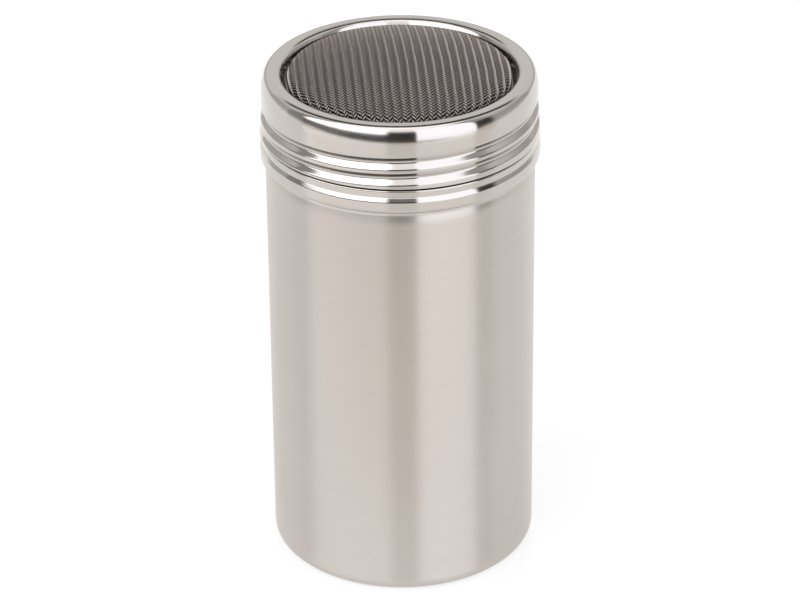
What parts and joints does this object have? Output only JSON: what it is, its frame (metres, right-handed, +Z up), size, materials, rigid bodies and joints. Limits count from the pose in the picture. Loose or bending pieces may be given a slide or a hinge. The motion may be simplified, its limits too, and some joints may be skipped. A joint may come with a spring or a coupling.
{
  "type": "mesh-top spice shaker",
  "caption": "Cylindrical stainless steel shaker with a threaded screw lid and a domed fine wire-mesh top for dusting spice, sugar or cocoa.",
  "frame": {"origin": "centre of the foot ring, on the surface that the shaker stands on", "axes": "+Z up along the can's axis; +X to the right as the shaker is seen from the front; the front faces -Y, where the lid's groove is at full depth twice"},
  "size_m": [0.069, 0.069, 0.1338],
  "materials": {
    "brushed_steel": "fine brushing around the can",
    "polished_steel": "polished",
    "wire_cloth": "bright drawn wire, twill weave",
    "ring_steel": "satin"
  },
  "bodies": {
    "can": {"container": "brushed_steel"},
    "ring": {"retaining_ring": "ring_steel"},
    "lid": {"lid_shell": "polished_steel", "screen": "wire_cloth"}
  },
  "joints": [
    {"name": "lid_rise", "type": "slide", "parent": "can", "child": "ring", "axis": [0, 0, 1], "range_m": [0, 0.0141]},
    {"name": "lid_unscrew", "type": "hinge", "parent": "ring", "child": "lid", "pos_m": [0, 0, 0.12], "axis": [0, 0, 1], "range_deg": [0, 1260]}
  ],
  "couplings": [
    {"joint": "lid_rise", "follows": "lid_unscrew", "m_per_rad": 0.00063662}
  ]
}
